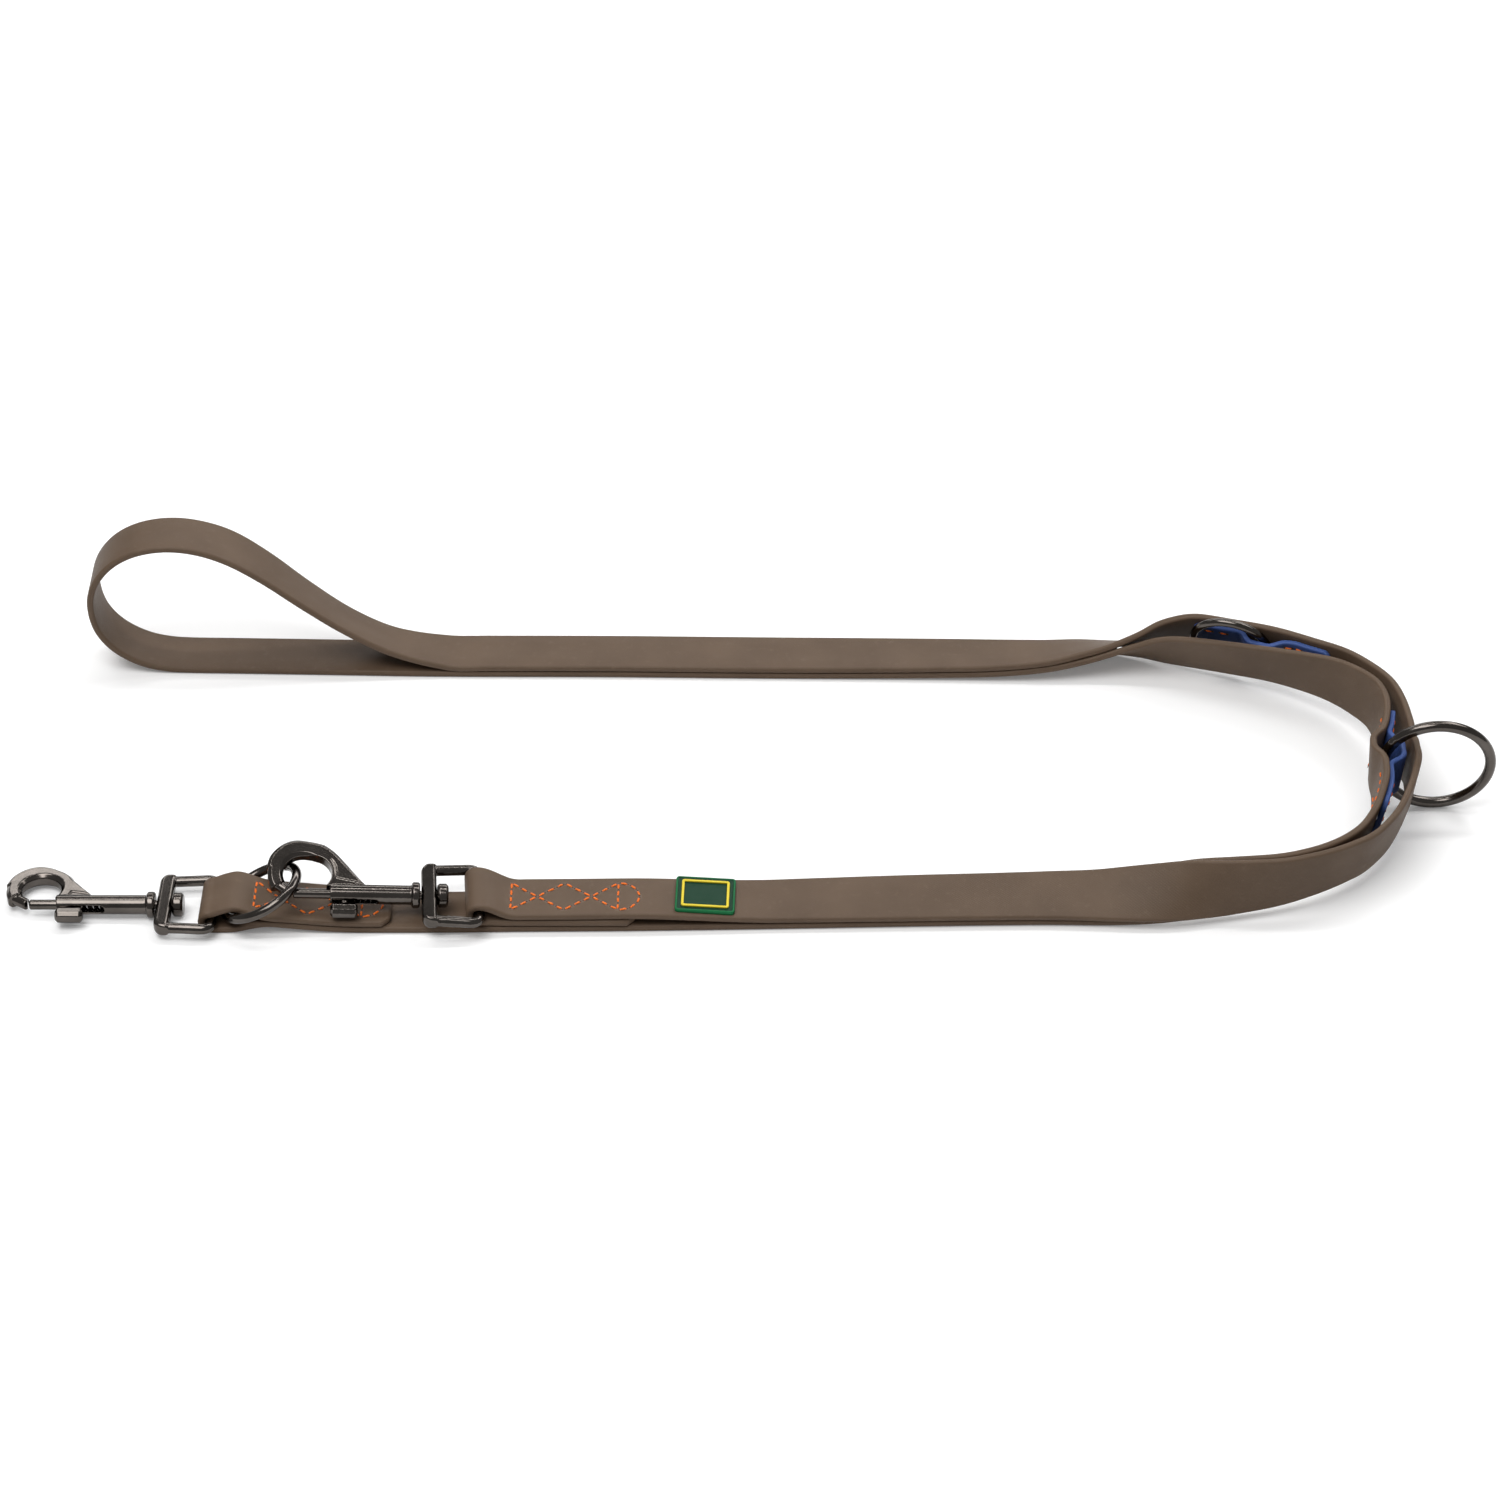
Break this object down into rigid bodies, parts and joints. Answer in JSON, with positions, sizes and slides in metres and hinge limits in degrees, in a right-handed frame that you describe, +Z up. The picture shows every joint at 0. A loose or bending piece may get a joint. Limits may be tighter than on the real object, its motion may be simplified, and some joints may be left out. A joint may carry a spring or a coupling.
{
  "type": "training leash",
  "caption": "Adjustable training leash: flat coated strap folded in two, swivel bolt-snap clips at the ends, hand loop, clip-on rings on sewn tabs and a stitched rubber label.",
  "frame": {"origin": "middle of the footprint on the surface the leash lies on", "axes": "+X along the leash from the front clip and hand loop towards the outer ring, +Y across it from the clip run to the hand-loop run, +Z up"},
  "size_m": [0.5046, 0.1738, 0.0544],
  "materials": {
    "strap": "smooth matt coated webbing, taupe brown",
    "tab": "smooth coated webbing, blue",
    "thread": "bonded polyester thread, orange",
    "label": "moulded soft rubber, dark green",
    "label_border": "moulded soft rubber, yellow",
    "metal": "polished black nickel plating",
    "spring": "spring wire"
  },
  "bodies": {
    "leash": {"strap": "strap", "end_seam_front": "thread", "end_seam_rear": "thread", "label_patch": "label", "label_border": "label_border", "outer_ring_tab": "tab", "outer_tab_seam": "thread", "inner_ring_tab": "tab", "inner_tab_seam": "thread"},
    "outer_ring": {"outer_ring": "metal"},
    "inner_ring": {"inner_ring": "metal"},
    "end_ring": {"end_ring": "metal"},
    "front_bail": {"front_clip_bail": "metal"},
    "front_clip": {"front_clip_rivet": "metal", "front_clip_hook": "metal", "front_clip_spring": "spring"},
    "front_bolt": {"front_clip_bolt": "metal", "front_clip_knob": "metal"},
    "rear_bail": {"rear_clip_bail": "metal"},
    "rear_clip": {"rear_clip_rivet": "metal", "rear_clip_hook": "metal", "rear_clip_spring": "spring"},
    "rear_bolt": {"rear_clip_bolt": "metal", "rear_clip_knob": "metal"}
  },
  "joints": [
    {"name": "outer_ring_swing", "type": "hinge", "parent": "leash", "child": "outer_ring", "pos_m": [0.21359, -0.0136, 0.02016], "axis": [-0.0049, -0.1391, 0.9903], "range_deg": [-12, 12]},
    {"name": "inner_ring_spin", "type": "hinge", "parent": "leash", "child": "inner_ring", "pos_m": [0.16864, 0.06128, 0.01682], "axis": [0.2743, 0.8817, 0.384], "continuous": true},
    {"name": "end_ring_swing", "type": "hinge", "parent": "leash", "child": "end_ring", "pos_m": [-0.17828, -0.0717, 0.00438], "axis": [0.042, 0.9954, -0.0861], "range_deg": [-1.08, 0]},
    {"name": "front_bail_hinge", "type": "hinge", "parent": "leash", "child": "front_bail", "pos_m": [-0.18226, -0.071, 0.00444], "axis": [0, 1, 0], "range_deg": [0, 100]},
    {"name": "front_clip_swivel", "type": "hinge", "parent": "front_bail", "child": "front_clip", "pos_m": [-0.18226, -0.071, 0.00444], "axis": [1, 0, 0], "continuous": true},
    {"name": "front_bolt_slide", "type": "slide", "parent": "front_clip", "child": "front_bolt", "axis": [1, 0, 0], "range_m": [0, 0.01], "stiffness_N_per_m": 200, "springref_m": -0.004, "deforming": ["front_clip_spring"]},
    {"name": "rear_bail_hinge", "type": "hinge", "parent": "leash", "child": "rear_bail", "pos_m": [-0.09376, -0.0705, 0.00764], "axis": [-0.0723, 0.995, 0.0695], "range_deg": [0, 0.4]},
    {"name": "rear_clip_swivel", "type": "hinge", "parent": "rear_bail", "child": "rear_clip", "pos_m": [-0.09376, -0.0705, 0.00764], "axis": [0.9933, 0.0782, -0.0854], "range_deg": [-0.3, 0.3]},
    {"name": "rear_bolt_slide", "type": "slide", "parent": "rear_clip", "child": "rear_bolt", "axis": [0.9933, 0.0782, -0.0854], "range_m": [0, 0.01], "stiffness_N_per_m": 200, "springref_m": -0.004, "deforming": ["rear_clip_spring"]}
  ],
  "couplings": [
    {"joint": "end_ring_swing", "follows": "rear_bail_hinge", "ratio": -2.7}
  ]
}
